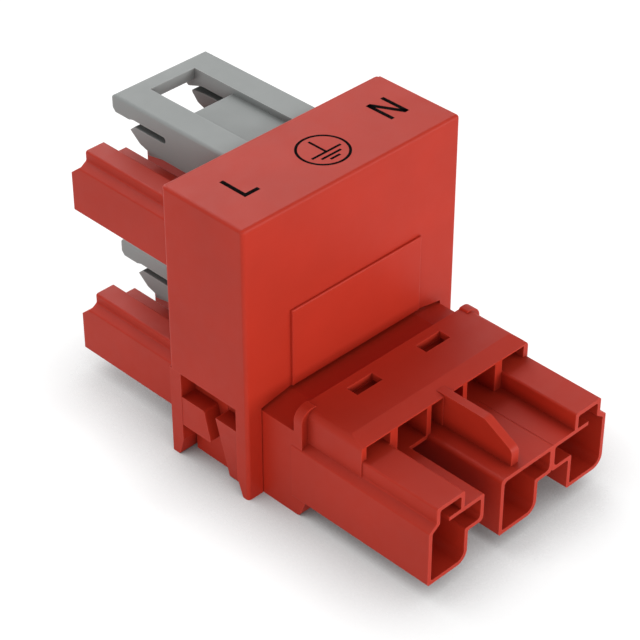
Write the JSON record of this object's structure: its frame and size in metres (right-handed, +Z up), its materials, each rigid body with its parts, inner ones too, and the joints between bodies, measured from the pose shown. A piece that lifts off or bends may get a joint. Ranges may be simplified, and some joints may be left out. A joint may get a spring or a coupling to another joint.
{
  "type": "distribution connector",
  "caption": "Low-profile power distribution connector: a keyed plug inlet feeds stacked keyed socket outlets, each with a locking lever.",
  "frame": {"origin": "on the resting face, below the middle of the shell's front face", "axes": "+X from the L pole to the N pole, +Y from the plug inlet to the socket outlets, +Z up from the resting face"},
  "size_m": [0.0294, 0.0504, 0.0322],
  "materials": {
    "red_plastic": "satin moulded",
    "grey_plastic": "satin moulded",
    "copper_strip": "bare copper",
    "contact_metal": "tin plated",
    "spring_steel": "stamped",
    "rivet_metal": "tin plated"
  },
  "bodies": {
    "housing": {"housing_shell": "red_plastic", "plug_block": "red_plastic", "socket_block": "red_plastic", "contact_rivets": "rivet_metal", "busbar_l": "copper_strip", "pin_l": "contact_metal", "contact_l_upper": "contact_metal", "spring_l_upper": "spring_steel", "contact_l_lower": "contact_metal", "spring_l_lower": "spring_steel", "busbar_pe": "copper_strip", "pin_pe": "contact_metal", "contact_pe_upper": "contact_metal", "spring_pe_upper": "spring_steel", "contact_pe_lower": "contact_metal", "spring_pe_lower": "spring_steel", "busbar_n": "copper_strip", "pin_n": "contact_metal", "contact_n_upper": "contact_metal", "spring_n_upper": "spring_steel", "contact_n_lower": "contact_metal", "spring_n_lower": "spring_steel"},
    "upper_lever": {"lever_upper": "grey_plastic"},
    "lower_lever": {"lever_lower": "grey_plastic"}
  },
  "joints": [
    {"name": "upper_lever_hinge", "type": "hinge", "parent": "housing", "child": "upper_lever", "pos_m": [0, 0.0099, 0.0295], "axis": [1, 0, 0], "range_deg": [-1, 4.5], "stiffness_Nm_per_rad": 0.15},
    {"name": "lower_lever_hinge", "type": "hinge", "parent": "housing", "child": "lower_lever", "pos_m": [0, 0.0099, 0.01195], "axis": [1, 0, 0], "range_deg": [-1, 4.5], "stiffness_Nm_per_rad": 0.15}
  ]
}
